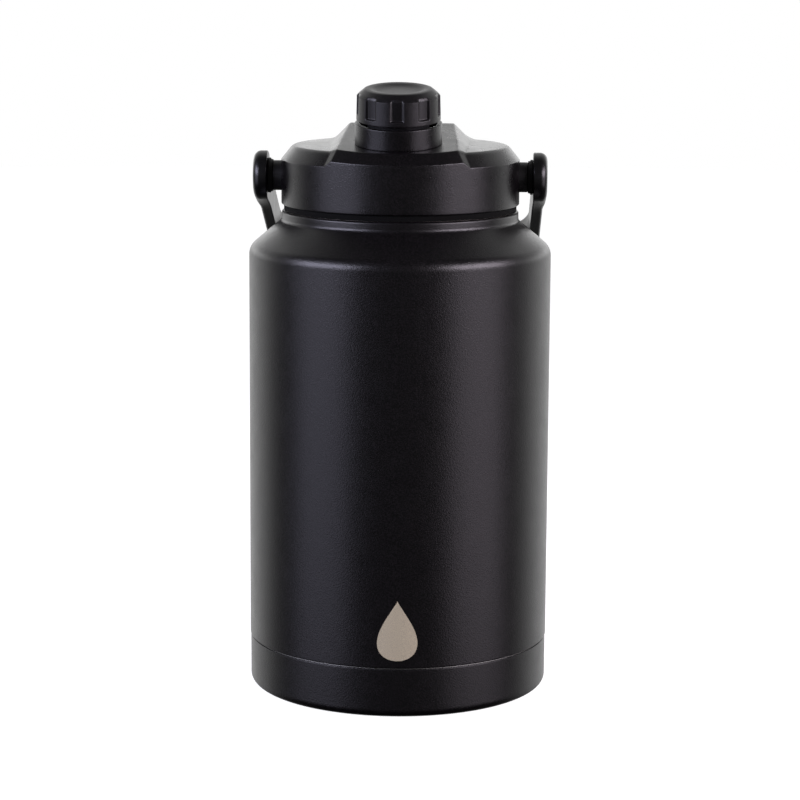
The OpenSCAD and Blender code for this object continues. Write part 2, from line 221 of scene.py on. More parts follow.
def grid_faces(rows, columns, wrap_rows=False, wrap_columns=False, start=0):
    """Quads of a grid of points that may close on itself either way."""
    faces = []
    for i in range(rows if wrap_rows else rows - 1):
        for j in range(columns if wrap_columns else columns - 1):
            a, b = start + i * columns + j, start + i * columns + (j + 1) % columns
            c = start + ((i + 1) % rows) * columns
            faces.append((a, b, c + (j + 1) % columns, c + j))
    return faces


def on_spout():
    """The matrix that stands a piece on the deck, on the spout's tilted axis."""
    return Matrix.Translation((0, SPOUT_Y, deck_z(SPOUT_Y))) @ Matrix.Rotation(SPOUT_TILT, 4, "X")


def along_x(side):
    """The matrix that lays a turned piece along the pivot axis, pointing outwards on one side."""
    return Matrix.Translation((0, 0, PIVOT_Z)) @ Matrix.Rotation(side * math.pi / 2, 4, "Y")


def smooth_step(x, low, high):
    """0 below low, 1 above high, with an even slope change between."""
    t = np.clip((x - low) / (high - low), 0, 1)
    return t * t * (3 - 2 * t)


def smooth_min(a, b, k):
    """The lower of two heights, rounded over a blend of width k."""
    h = np.clip(0.5 + 0.5 * (b - a) / k, 0, 1)
    return b * (1 - h) + a * h - k * h * (1 - h)


def smooth_max(a, b, k):
    """The higher of two heights, rounded over a blend of width k."""
    return -smooth_min(-a, -b, k)


def boolean(piece, other, how, sharp=35):
    """Joins or cuts a piece with another mesh, which is used up."""
    change = piece.modifiers.new("cut", "BOOLEAN")
    change.operation = how
    change.solver = "EXACT"
    change.object = other
    bpy.context.view_layer.update()
    result = bpy.data.meshes.new_from_object(piece.evaluated_get(bpy.context.evaluated_depsgraph_get()))
    piece.modifiers.clear()
    piece.data = result
    bpy.data.objects.remove(other)
    shade(piece, sharp)
    return piece


def tool_mesh(verts, faces):
    """A temporary closed mesh for boolean()."""
    mesh = bpy.data.meshes.new("tool")
    mesh.from_pydata([Vector(v) * MM for v in verts], [], faces)
    work = bmesh.new()
    work.from_mesh(mesh)
    bmesh.ops.recalc_face_normals(work, faces=work.faces)
    work.to_mesh(mesh)
    work.free()
    piece = bpy.data.objects.new("tool", mesh)
    bpy.context.scene.collection.objects.link(piece)
    return piece


def thread_rib(root, crest, z, lead, turns, place=None):
    """A temporary mesh of a right-handed thread rib with run-outs at both ends."""
    per_turn, fade, half_root, half_crest = 96, 8, 1.1, 0.5
    steps = round(per_turn * turns)
    section = [(0, -half_root), (0.75, -half_crest - 0.25), (1, -half_crest + 0.1)]
    section += [(u, -v) for u, v in reversed(section)]
    verts = []
    for i in range(steps + 1):
        grow = min(1, (i + 0.4) / fade, (steps - i + 0.4) / fade)
        a = 2 * math.pi * turns * i / steps
        for u, v in section:
            r = root + (crest - root) * grow * u
            verts.append((r * math.cos(a), r * math.sin(a), z + lead * turns * i / steps + v))
    n = len(section)
    faces = grid_faces(steps + 1, n, wrap_columns=True)
    faces += [tuple(range(n)), tuple(steps * n + k for k in reversed(range(n)))]
    if place is not None:
        verts = [place @ Vector(v) for v in verts]
    return tool_mesh(verts, faces)


def turned(outlines, wrap=False):
    """Points and faces of one outline per angle round Z, all with as many (r, z) points.

    The outline is closed when wrap is set, and otherwise starts and ends on the axis."""
    columns, rows = len(outlines), len(outlines[0])
    angles = [2 * math.pi * i / columns for i in range(columns)]
    if wrap:
        verts = [(o[k][0] * math.cos(a), o[k][0] * math.sin(a), o[k][1])
                 for k in range(rows) for a, o in zip(angles, outlines)]
        return verts, grid_faces(rows, columns, wrap_rows=True, wrap_columns=True)
    inside = range(1, rows - 1)
    verts = [(o[k][0] * math.cos(a), o[k][0] * math.sin(a), o[k][1])
             for k in inside for a, o in zip(angles, outlines)]
    faces = grid_faces(rows - 2, columns, wrap_columns=True)
    first, last = len(verts), len(verts) + 1
    verts += [(0, 0, outlines[0][0][1]), (0, 0, outlines[0][-1][1])]
    end = (rows - 3) * columns
    faces += [(first, (i + 1) % columns, i) for i in range(columns)]
    faces += [(last, end + i, end + (i + 1) % columns) for i in range(columns)]
    return verts, faces


# ---- body ----

SHEET = 0.8
SEAM_LOW, SEAM_HIGH = CUP_HIGH[2], SHELL_LOW[2]
MOUTH_R = 57.2
LIP_R = 59.6
LIP_TOP = NECK_TOP + 1
NECK_R = 61
SHOULDER = (BODY_R, 230)  # corner between the wall and the shoulder's cone
NECK_FOOT = (NECK_R, 244.3)  # corner between the cone and the neck
INNER_R = span("inner_vessel")[1][0]
INNER_FLOOR = span("inner_vessel")[0][2]
LID_LEAD, LID_TURNS = 6, 1.25
NECK_RIB_Z = 238.8
RIB_H = 1.7
PLUG_R = 54.95
PLUG_BOTTOM = span("lid_liner")[0][2]


def outer_shell():
    """Painted shell from the seam to the mouth, one sheet thick."""
    inside = NECK_R - SHEET
    lathe("outer_shell_skin", [
        (BODY_R, SEAM_HIGH, 0.6), (*SHOULDER, 8), (*NECK_FOOT, 3), (NECK_R, NECK_TOP, 1.2),
        (MOUTH_R + SHEET + 0.1, NECK_TOP, 0), (MOUTH_R + SHEET + 0.1, NECK_TOP - SHEET, 0),
        (inside, NECK_TOP - SHEET, 0.6), (inside, NECK_FOOT[1] - 0.4, 3.8),
        (BODY_R - SHEET, SHOULDER[1] - 0.4, 7.2), (BODY_R - SHEET, SEAM_HIGH + 3, 0),
        (BODY_R - 0.4 - SHEET, SEAM_HIGH + 1, 0), (BODY_R - 0.4 - SHEET, SEAM_HIGH, 0),
    ], "jug", "powder_coat", ["outer_shell"], steps=12)


def base_cup():
    """Pressed cup over the foot, with its standing ring and the recess inside it."""
    lathe("base_cup_skin", [
        (0, 2.4, 0), (61.5, 2.4, 2), (66, 0, 1), (BASE_R, 0, 4.2), (BASE_R, SEAM_LOW, 0.4),
        (BASE_R - SHEET, SEAM_LOW, 0.2), (BASE_R - SHEET, SHEET, 3.4), (66.3, SHEET, 0.8),
        (61.8, 2.4 + SHEET, 1.5), (0, 2.4 + SHEET, 0),
    ], "jug", "base_coat", ["base_cup"], steps=8, closed=False)


def inner_vessel():
    """Bare steel vessel with its lip, the mouth and the rib that the lid screws on."""
    shoulder_z, step_r, step_z, throat_z = 227.8, 63, 236.4, 237.2
    piece = lathe("inner_vessel_steel", [
        (0, INNER_FLOOR, 0), (INNER_R, INNER_FLOOR, 12), (INNER_R, shoulder_z, 9), (step_r, step_z, 2),
        (MOUTH_R + SHEET, throat_z, 1), (MOUTH_R + SHEET, NECK_TOP, 0), (LIP_R, NECK_TOP, 0.2),
        (LIP_R, LIP_TOP, 0.4), (MOUTH_R, LIP_TOP, 0.5), (MOUTH_R, throat_z - SHEET, 2),
        (step_r - 0.3, step_z - SHEET, 2), (INNER_R - SHEET, shoulder_z - 0.4, 8.2),
        (INNER_R - SHEET, INNER_FLOOR + SHEET, 11.2), (0, INNER_FLOOR + SHEET, 0),
    ], "jug", "bare_steel", ["inner_vessel"], steps=8, closed=False)
    rib = thread_rib(MOUTH_R + 0.4, MOUTH_R - RIB_H, NECK_RIB_Z, LID_LEAD, LID_TURNS)
    boolean(piece, rib, "UNION")


def lid_gasket():
    """Silicone ring on the mouth's lip. Its skirt fills the gap under the lid ring, and its near-black colour
    is partly painted shade for that gap.
    """
    inside, skirt, skirt_foot = PLUG_R + 0.6, LIP_R + 0.35, NECK_TOP + 0.2
    lathe("lid_gasket_ring", [
        (inside, LIP_TOP + 0.3, 0.2), (MOUTH_R, LIP_TOP, 0.3), (LIP_R + 0.05, LIP_TOP, 0.3),
        (LIP_R + 0.05, skirt_foot, 0), (skirt, skirt_foot, 0.1), (skirt, LID_Z, 0.4), (inside, LID_Z, 0.2),
    ], "lid_ring_seal", "silicone", ["lid_gasket"])


MARK_W, MARK_H = 22, 31
MARK_X, MARK_Z = 2.4, 45.4
MARK_T = 0.05


def water_drop(t):
    """One point of the outline of a plain drop of unit height about its middle, t from 0 to 1."""
    a = 2 * math.pi * t
    return math.sin(a) * math.sin(a / 2) ** 1.4 * 0.5, math.cos(a) * 0.5


def etched_mark():
    """Generic water-drop mark, bare steel showing through the coat at the front."""
    around, rings = 120, 8
    low = 0.18  # the rings close in on a point this far below the drop's middle, in its heights
    widen = 1.3  # the outline itself is only 0.71 across for a height of 1
    verts = []
    for depth in (MARK_T, -MARK_T):
        for k in range(1, rings + 1):
            for i in range(around):
                u, v = water_drop(i / around)
                x = MARK_X + u * MARK_W * widen * k / rings
                z = MARK_Z + (v + low) * MARK_H * k / rings - low * MARK_H
                a, r = x / BODY_R, BODY_R + depth
                verts.append((r * math.sin(a), -r * math.cos(a), z))
    faces = []
    for sheet in (0, 1):
        start = sheet * rings * around
        faces += grid_faces(rings, around, wrap_columns=True, start=start)
        centre = len(verts)
        r, a = BODY_R + (MARK_T, -MARK_T)[sheet], MARK_X / BODY_R
        verts.append((r * math.sin(a), -r * math.cos(a), MARK_Z - low * MARK_H))
        faces += [(centre, start + i, start + (i + 1) % around) for i in range(around)]
    rim = (rings - 1) * around
    for i in range(around):
        j = (i + 1) % around
        faces.append((rim + i, rim + j, rings * around + rim + j, rings * around + rim + i))
    make("water_drop_mark", verts, faces, "jug", "bare_steel")


# ---- lid ----

WING_R, WING_Z = 55.5, 282.5
WING_CROWN = 1.2
RING_EDGE = 275.3  # height of the ring's top edge beside the deck
FRONT_EDGE = 277.1  # its height in front of the deck
DECK_FRONT_R = 56.7
DECK_FRONT_Y, DECK_CREST_Y = -48, 19  # places of the deck's front corners and of its crest
DECK_FALL = math.radians(10)  # slope behind the crest
DECK_HALF_FRONT, DECK_HALF_CREST = 30.2, 27
FLANK_FRONT, FLANK_CREST = 3.6, 9.0
FLARE = 0.6  # how much wider the deck's chamfer gets for each millimetre of radius
CAVITY_TOP = 277.8
SPOUT_HOLE = 15.8


def wing_height(r):
    """Top of the lid beside the deck: a chamfer up from the ring and a slight crown."""
    crown = WING_Z + WING_CROWN * (1 - (r / WING_R) ** 2)
    chamfer = RING_EDGE + (RING_R - r) * (WING_Z - RING_EDGE) / (RING_R - WING_R)
    return smooth_min(crown, chamfer, 1.6)


def deck_height(x, y):
    """Top of the raised band without its flanks: up to its crest, down behind it, round its edge."""
    r = np.hypot(x, y)
    rise = DECK_H + y * math.tan(SPOUT_TILT)
    fall = deck_z(DECK_CREST_Y) - (y - DECK_CREST_Y) * math.tan(DECK_FALL)
    edge = FRONT_EDGE + x * x / 1100
    slope = (deck_z(-DECK_FRONT_R) - FRONT_EDGE) / (RING_R - DECK_FRONT_R)
    return smooth_min(smooth_min(rise, fall, 1.2), edge + (RING_R - r) * slope, 0.45)


def lid_height(x, y):
    """Height of the lid's top over a point."""
    r = np.hypot(x, y)
    wing = wing_height(r)
    along = np.clip((y - DECK_FRONT_Y) / (DECK_CREST_Y - DECK_FRONT_Y), 0, 1)
    half = DECK_HALF_FRONT + (DECK_HALF_CREST - DECK_HALF_FRONT) * along
    half += FLARE * np.clip(r - DECK_FRONT_R, 0, 9)
    width = FLANK_FRONT + (FLANK_CREST - FLANK_FRONT) * along
    ramp = smooth_max(smooth_min(1 - (np.abs(x) - half) / width, 1.0, 0.1), 0.0, 0.08 + 0.3 * along)
    return wing + (deck_height(x, y) - wing) * ramp


def lid_shell():
    """Lid moulding: the ring, the low wings and the deck, open below, with a hole for the spout."""
    angles, fillet, steps, wall = 720, 0.8, 5, 3.8
    rim = RING_R - 1.0
    radii = np.concatenate([np.linspace(0, 20, 9), np.linspace(20.8, 50, 42), np.linspace(50.3, rim, 36)])
    reach = np.append(radii, RING_R)
    outlines = []
    for i in range(angles):
        a = 2 * math.pi * i / angles
        heights = lid_height(reach * math.cos(a), reach * math.sin(a)).tolist()
        edge = heights.pop()
        top = list(zip(radii.tolist(), heights))
        top += arc_points((rim, heights[-1]), (RING_R, edge), (RING_R, edge - 4), fillet, steps)
        side = [(RING_R, edge - 1.5), (RING_R, LID_Z + 8), (RING_R, LID_Z + 2)]
        foot = arc_points((RING_R, LID_Z + 5), (RING_R, LID_Z), (RING_R - 3, LID_Z), 0.6, 5)
        inside = RING_R - wall
        under = [(inside + 0.1, LID_Z), (inside, LID_Z + 0.2), (inside, RING_EDGE - 2.5),
                 (WING_R - 2.5, CAVITY_TOP), (0, CAVITY_TOP)]
        outlines.append(top + side + foot + under)
    verts, faces = turned(outlines)
    piece = make("lid_moulding", verts, faces, "lid", "lid_plastic", ["lid_shell"], sharp=50)
    hole = spout_cutter(SPOUT_HOLE, -20, 20)
    boolean(piece, hole, "DIFFERENCE", sharp=50)


def spout_cutter(radius, low, high):
    """A temporary cylinder on the spout's axis between two heights above the deck."""
    verts, faces = lathe_data([(0, low), (radius, low), (radius, high), (0, high)], 120, closed=False)
    return tool_mesh([on_spout() @ Vector(v) for v in verts], faces)


def lid_liner():
    """Threaded plug under the lid."""
    weld_r = RING_R - 3.9
    piece = lathe("lid_plug", [
        (0, PLUG_BOTTOM, 0), (PLUG_R, PLUG_BOTTOM, 2.5), (PLUG_R, LID_Z, 0.3), (weld_r, LID_Z, 0),
        (weld_r, LID_Z + 3, 0), (PLUG_R, LID_Z + 3, 0), (PLUG_R, LID_Z + 4, 0), (PLUG_R - 2, LID_Z + 4, 0),
        (PLUG_R - 2, PLUG_BOTTOM + 2.5, 1), (0, PLUG_BOTTOM + 2.5, 0),
    ], "lid", "liner_plastic", ["lid_liner"], closed=False)
    rib = thread_rib(PLUG_R - 0.8, PLUG_R + RIB_H, NECK_RIB_Z - 2, LID_LEAD, LID_TURNS)
    boolean(piece, rib, "UNION")
    boolean(piece, spout_cutter(SPOUT_HOLE, -70, -20), "DIFFERENCE")


# ---- spout ----

SPOUT_BORE, SPOUT_R = 13.8, 15.6
SPOUT_H = 22.8
COLLAR_R, COLLAR_H = 22, 10.4
CAP_FOOT, CAP_TOP = 12, 27.9
PAD_TOP = 24.2
CAP_RIB_Z, CAP_LEAD, CAP_RIB_H = 15.6, 6, 1.4


def spout_tube():
    """Drinking spout: flange, tube and thread."""
    foot = PLUG_BOTTOM + 0.4 - deck_z(SPOUT_Y)
    piece = lathe("spout_neck", [
        (SPOUT_BORE, foot, 0.3), (SPOUT_R, foot, 0.3), (SPOUT_R, 1.1, 0), (COLLAR_R - 2.6, 1.1, 0.2),
        (COLLAR_R - 2.6, 3, 0.5), (SPOUT_R, 3, 1), (SPOUT_R, SPOUT_H, 0.7), (SPOUT_BORE, SPOUT_H, 0.7),
    ], "lid", "liner_plastic", ["spout_tube"], place=on_spout(), segments=180)
    rib = thread_rib(SPOUT_R - 0.6, SPOUT_R + CAP_RIB_H, CAP_RIB_Z, CAP_LEAD, 1, on_spout())
    boolean(piece, rib, "UNION")


def spout_collar():
    """Collar round the foot of the spout."""
    lathe("spout_collar_ring", [
        (COLLAR_R - 2.4, 0, 0.2), (COLLAR_R, 0, 0.35),
        (COLLAR_R, COLLAR_H, 0.4), (COLLAR_R - 2.4, COLLAR_H, 0.3),
    ], "lid", "lid_plastic", ["spout_collar"], place=on_spout())


# ---- cap ----

CAP_R = 21.2
POCKETS = 9
POCKET_HALF = 3.1
POCKET_DEPTH = 1.3
POCKET_LOW = CAP_FOOT + 2.7
LINER_BORE, LINER_R = 17.45, 18.85
LINER_TOP = SPOUT_H + 2.3


def pocket(angle, z):
    """How deep a point of the cap lies in a grip pocket, from 0 on the pads to 1 on its floor."""
    pitch = 2 * math.pi / POCKETS
    off = abs((angle + math.pi / 2 + pitch / 2) % pitch - pitch / 2) * CAP_R
    across = 1 - float(np.clip((off - POCKET_HALF + 0.5) / 1.0, 0, 1))
    rise = float(smooth_step(z, POCKET_LOW - 0.35, POCKET_LOW + 0.35))
    return across * rise


def cap_shell():
    """Round screw cap with a dished top and nine grip pockets."""
    angles = 720
    bore = LINER_R + 0.1
    wall_low, wall_r = CAP_FOOT + 0.7, CAP_R - 0.3
    top = rounded([(0, CAP_TOP - 1.5, 0), (10.0, CAP_TOP - 1.5, 14), (13.3, CAP_TOP - 0.25, 0.9),
                   (15.2, CAP_TOP, 2.0), (17.0, CAP_TOP - 0.2, 2.2), (19.4, CAP_TOP - 2.2, 2.5),
                   (wall_r, PAD_TOP, 0.2), (CAP_R, wall_low, 0)], 7, closed=False)
    wall = [(wall_r + 0.3 * (PAD_TOP - z) / (PAD_TOP - wall_low), z)
            for z in np.linspace(PAD_TOP - 0.4, wall_low, 46).tolist()]
    foot = rounded([(CAP_R, wall_low, 0), (CAP_R, CAP_FOOT, 0.5), (bore, CAP_FOOT, 0.2),
                    (bore, LINER_TOP - 2.6, 0), (bore - 3, LINER_TOP + 0.1, 0), (0, LINER_TOP + 0.1, 0)],
                   4, closed=False)
    profile = top[:-1] + wall + foot[1:]
    floor = CAP_R - POCKET_DEPTH
    outlines = []
    for i in range(angles):
        a = 2 * math.pi * i / angles
        outline = []
        for r, z in profile:
            if r > floor and z > CAP_FOOT + 1:
                r -= (r - floor) * pocket(a, z)
            outline.append((r, z))
        outlines.append(outline)
    verts, faces = turned(outlines)
    verts = [on_spout() @ Vector(v) for v in verts]
    make("cap_moulding", verts, faces, "cap", "cap_plastic", ["cap_shell"], sharp=60)


def cap_liner():
    """Threaded liner inside the cap."""
    roof = LINER_TOP - 1.2
    piece = lathe("cap_liner_thread", [
        (0, LINER_TOP, 0), (LINER_R - 3, LINER_TOP, 0.4), (LINER_R, LINER_TOP - 2.7, 0.6),
        (LINER_R, CAP_FOOT + 0.4, 0.3), (LINER_BORE, CAP_FOOT + 0.4, 0.3), (LINER_BORE, roof - 2, 0.6),
        (15.7, roof - 0.4, 0), (15.7, roof, 0), (0, roof, 0),
    ], "cap", "liner_plastic", ["cap_liner"], place=on_spout(), segments=180, closed=False)
    rib = thread_rib(LINER_BORE + 0.6, LINER_BORE - CAP_RIB_H, CAP_RIB_Z - 2, CAP_LEAD, 1, on_spout())
    boolean(piece, rib, "UNION")


def cap_seal():
    """Silicone disc that closes the spout's rim."""
    lathe("cap_seal_disc", [
        (0, SPOUT_H + 0.15, 0), (12.6, SPOUT_H + 0.15, 0.3), (13.4, SPOUT_H, 0.3), (15.5, SPOUT_H, 0.3),
        (15.5, SPOUT_H + 1, 0.3), (0, SPOUT_H + 1, 0),
    ], "cap_ring_seal", "silicone", ["cap_seal"], place=on_spout(), segments=180, closed=False)


# ---- handle ----

HANG = math.radians(28.5)
BAR_DIST = 94.6
CORNER_R = 30
STRAP_T, STRAP_HALF = 6.1, 9
EYE_R, EYE_IN, EYE_T = 12.7, 68.2, 7.3
EYE_NECK = 26
LEAN_FROM = 9
LEAN = math.radians(1.165)
EYE_FILLET, OUT_FILLET, IN_FILLET = 3.8, 1.6, 0.8


def half_width(q):
    """Half the handle's width at a distance q along it from the pivot: the eye, its neck and the strap."""
    meet = 3
    rise = math.sqrt(EYE_R ** 2 - meet ** 2)
    if q < meet:
        return math.sqrt(max(0, EYE_R ** 2 - q * q))
    if q > EYE_NECK:
        return STRAP_HALF
    t, drop = (q - meet) / (EYE_NECK - meet), STRAP_HALF - rise
    slope = -meet / rise * (EYE_NECK - meet)
    return rise + slope * t + (3 * drop - 2 * slope) * t ** 2 + (slope - 2 * drop) * t ** 3


def on_path(q):
    """Point (x, y) of the strap's inner face at a distance q along it, and the outward direction."""
    straight = BAR_DIST - CORNER_R
    centre_x = EYE_IN - (straight - LEAN_FROM) * math.tan(LEAN) - CORNER_R
    turn = math.pi / 2 * CORNER_R
    if q <= straight:
        return EYE_IN - max(0, q - LEAN_FROM) * math.tan(LEAN), q, 1.0, 0.0
    if q <= straight + turn:
        a = (q - straight) / CORNER_R
        return centre_x + CORNER_R * math.cos(a), straight + CORNER_R * math.sin(a), math.cos(a), math.sin(a)
    return centre_x - (q - straight - turn), BAR_DIST, 0.0, 1.0


def edge_drop(distance, fillet):
    """How far a rounded edge falls away at a distance inside the outline."""
    if distance >= fillet:
        return 0
    return fillet - math.sqrt(max(0, fillet ** 2 - (fillet - distance) ** 2))


def handle_sections():
    """Places along one half of the handle, closer together where it turns or narrows."""
    eye = [-EYE_R * math.cos(math.radians(a)) for a in np.linspace(0, 90, 19)]
    neck = np.linspace(0, EYE_NECK, 22)[1:].tolist()
    straight = BAR_DIST - CORNER_R
    arm = np.linspace(EYE_NECK, straight, 12)[1:].tolist()
    corner = np.linspace(straight, straight + CORNER_R * math.pi / 2, 30)[1:].tolist()
    half_bar = EYE_IN - (straight - LEAN_FROM) * math.tan(LEAN) - CORNER_R
    bar = np.linspace(corner[-1], corner[-1] + half_bar, 10)[1:].tolist()
    return eye + neck + arm + corner + bar


def handle_grip():
    """Moulded bail: two round eyes, arms and the bar, flat inside and full outside."""
    sections = handle_sections()
    last = sections[-1]
    path = [(q, 1) for q in sections] + [(q, -1) for q in reversed(sections[:-1])]
    across = [math.sin(a) for a in np.linspace(-math.pi / 2, math.pi / 2, 29)]
    place = Matrix.Translation((0, 0, PIVOT_Z)) @ Matrix.Rotation(-HANG, 4, "X")
    loops = []
    for q, side in path[1:-1]:
        half = half_width(q)
        x, y, nx, ny = on_path(q)
        thick = STRAP_T + (EYE_T - STRAP_T) * (1 - float(np.clip((q + 2) / EYE_NECK, 0, 1)))
        crown = 0.5 * float(smooth_step(q, EYE_R, EYE_NECK))
        fillet = EYE_FILLET + (OUT_FILLET - EYE_FILLET) * float(smooth_step(q, -4, 14))
        outside, inside = [], []
        for c in across:
            v = half * c
            edge = EYE_R - math.hypot(q, v) if q < 0 else half - abs(v)
            out = thick - edge_drop(edge, fillet) - crown * c * c
            inn = edge_drop(edge, IN_FILLET)
            outside.append((out, v))
            inside.append((inn, v))
        ring = outside + inside[::-1]
        loops.append([place @ Vector((side * (x + u * nx), y + u * ny, v)) for u, v in ring])
    verts = [v for ring in loops for v in ring]
    count = len(loops[0])
    faces = grid_faces(len(loops), count, wrap_columns=True)
    for start, side in ((0, 1), ((len(loops) - 1) * count, -1)):
        low, high = IN_FILLET, EYE_T - EYE_FILLET
        ends = len(verts)
        tip = [place @ Vector((side * (EYE_IN + u), -EYE_R, 0)) for u in (low, high)]
        verts += tip
        middle = count // 2
        for k in range(middle - 1):
            faces.append((ends + 1, start + k, start + k + 1))
            faces.append((ends, start + middle + k, start + middle + k + 1))
        faces.append((ends, ends + 1, start + middle - 1, start + middle))
        faces.append((ends + 1, ends, start + count - 1, start))
    piece = make("handle_skin", verts, faces, "handle", "handle_plastic", ["handle_grip"], sharp=50)
    for side in (-1, 1):
        boolean(piece, pivot_cutter(side, 6.4, 73.1, 80), "DIFFERENCE", sharp=40)
        boolean(piece, pivot_cutter(side, 5.0, 60, 73.3), "DIFFERENCE", sharp=40)


def pivot_cutter(side, radius, low, high):
    """A temporary cylinder along the pivot axis between two distances from the jug's axis."""
    verts, faces = lathe_data([(0, low), (radius, low), (radius, high), (0, high)], 96, closed=False)
    return tool_mesh([along_x(side) @ Vector(v) for v in verts], faces)


def pivot(side, word):
    """Stub, washer, shoulder screw and cover disc of one end of the handle."""
    place = along_x(side)
    boss = lathe("pivot_stub_" + word, [
        (3.05, 56.5, 0), (7.7, 56.5, 0), (7.7, 65.6, 0.6), (3.05, 65.6, 0.3),
    ], "lid", "boss_plastic", ["pivot_boss_" + word], place, 96)
    verts, faces = lathe_data(rounded([
        (3.05, 54.2, 0), (9.5, 54.2, 0.3), (9.5, 56.3, 0.3), (7.4, 56.3, 0), (7.4, 57, 0), (3.05, 57, 0)
    ], 3), 96)
    flange = tool_mesh([place @ Vector(v) for v in verts], faces)
    boolean(flange, box_tool((side * 55.6, 0, PIVOT_Z), (5, 40, 10.4)), "INTERSECT")
    boolean(boss, flange, "UNION")
    lathe("pivot_ring_" + word, [
        (4.6, 65.6, 0.2), (8.2, 65.6, 0.3), (8.4, 66.7, 0.1), (9, 66.8, 0.3), (9, 68.1, 0.4),
        (4.6, 68.1, 0.2),
    ], "lid", "washer_rubber", ["pivot_washer_" + word], place, 96)
    lathe("pivot_pin_" + word, [
        (0, 57.2, 0), (3, 57.2, 0.5), (3, 65.6, 0), (4.5, 65.6, 0.2), (4.5, 73.2, 0), (5.8, 73.2, 0.3),
        (5.8, 74.6, 0.4), (2.4, 74.6, 0.2), (2.4, 72.9, 0), (0, 72.9, 0),
    ], "lid", "pin_steel", ["pivot_screw_" + word], place, 96, closed=False)
    lathe("eye_disc_" + word, [
        (0, 74.7, 0), (6.35, 74.7, 0.1), (6.35, 75.5, 0.3), (0, 75.5, 0),
    ], "handle", "handle_plastic", ["eye_cover_" + word], place, 96, closed=False)


def box_tool(centre, size):
    """A temporary box."""
    verts = [[centre[k] + size[k] * s[k] / 2 for k in range(3)]
             for s in ((a, b, c) for a in (-1, 1) for b in (-1, 1) for c in (-1, 1))]
    faces = [(0, 1, 3, 2), (4, 6, 7, 5), (0, 4, 5, 1), (2, 3, 7, 6), (0, 2, 6, 4), (1, 5, 7, 3)]
    return tool_mesh(verts, faces)


# ---- materials ----


def new_material(name, colour, roughness, metallic=0.0):
    """A Principled material with its node tree ready for detail."""
    made = bpy.data.materials.new(name)
    made.use_nodes = True
    shader = made.node_tree.nodes["Principled BSDF"]
    shader.inputs["Base Color"].default_value = (*colour, 1)
    shader.inputs["Roughness"].default_value = roughness
    shader.inputs["Metallic"].default_value = metallic
    return made, made.node_tree, shader


def add(tree, kind, inputs=None, **settings):
    """Adds a node. Inputs are values, or sockets to link from."""
    node = tree.nodes.new(kind)
    for key, value in settings.items():
        setattr(node, key, value)
    for key, value in (inputs or {}).items():
        if isinstance(value, bpy.types.NodeSocket):
            tree.links.new(value, node.inputs[key])
        else:
            node.inputs[key].default_value = value
    return node


def place_in(tree, stretch=(1, 1, 1)):
    """Object coordinates in millimetres, stretched along each axis."""
    coords = add(tree, "ShaderNodeTexCoord").outputs["Object"]
    return add(tree, "ShaderNodeMapping", {"Vector": coords, "Scale": [s / MM for s in stretch]}).outputs[0]


def noise(tree, place, size, detail=2.0, rough=0.5):
    """Noise whose lumps are about size millimetres across."""
    return add(tree, "ShaderNodeTexNoise", {
        "Vector": place, "Scale": 1 / size, "Detail": detail, "Roughness": rough}).outputs["Fac"]


def remap(tree, value, low, high, from_low=0.3, from_high=0.7):
    """A value moved from one range to another, held at its ends."""
    ends = {"From Min": from_low, "From Max": from_high, "To Min": low, "To Max": high}
    return add(tree, "ShaderNodeMapRange", {"Value": value, **ends}).outputs[0]


def tint(tree, shader, factor, first, second):
    """Base colour between two tones."""
    mixed = add(tree, "ShaderNodeMix", data_type="RGBA")
    tree.links.new(factor, mixed.inputs["Factor"])
    mixed.inputs[6].default_value = (*first, 1)
    mixed.inputs[7].default_value = (*second, 1)
    tree.links.new(mixed.outputs[2], shader.inputs["Base Color"])


def bumps(tree, shader, *layers):
    """Stacks bump layers of (height, depth in millimetres)."""
    normal = None
    for height, depth in layers:
        inputs = {"Height": height, "Distance": depth * MM, "Strength": 1.0}
        if normal is not None:
            inputs["Normal"] = normal
        normal = add(tree, "ShaderNodeBump", inputs).outputs[0]
    tree.links.new(normal, shader.inputs["Normal"])


def satin(name, dark, light, roughness, grain, depth):
    """Satin surface with a fine sparkling grain, whose size and depth are in millimetres."""
    made, tree, shader = new_material(name, dark, roughness)
    place = place_in(tree)
    fine = noise(tree, place, grain, 2)
    patch = noise(tree, place, grain * 14, 3, 0.6)
    tint(tree, shader, remap(tree, fine, 0, 1, 0.42, 0.62), dark, light)
    spread = remap(tree, patch, roughness - 0.025, roughness + 0.025)
    tree.links.new(spread, shader.inputs["Roughness"])
    bumps(tree, shader, (fine, depth), (patch, depth * 0.2))
    return made


def rubber(name, dark, light, roughness, specular=0.5):
    """Matt elastomer with faint mould bloom."""
    made, tree, shader = new_material(name, dark, roughness)
    shader.inputs["Specular IOR Level"].default_value = specular
    place = place_in(tree)
    patch = noise(tree, place, 2.5, 4, 0.6)
    tint(tree, shader, remap(tree, patch, 0, 1), dark, light)
    tree.links.new(remap(tree, patch, roughness - 0.06, roughness + 0.06), shader.inputs["Roughness"])
    bumps(tree, shader, (noise(tree, place, 0.25, 2), 0.006))
    return made


def steel(name, colour, roughness, stretch, depth, metallic=1.0):
    """Steel with fine drawn lines across the stretched directions."""
    made, tree, shader = new_material(name, colour, roughness, metallic)
    lines = noise(tree, place_in(tree, stretch), 1, 3, 0.6)
    cloud = noise(tree, place_in(tree), 9, 3, 0.6)
    tint(tree, shader, remap(tree, cloud, 0, 1), [c * 0.9 for c in colour], colour)
    tree.links.new(remap(tree, lines, roughness - 0.05, roughness + 0.08), shader.inputs["Roughness"])
    bumps(tree, shader, (lines, depth))
    return made


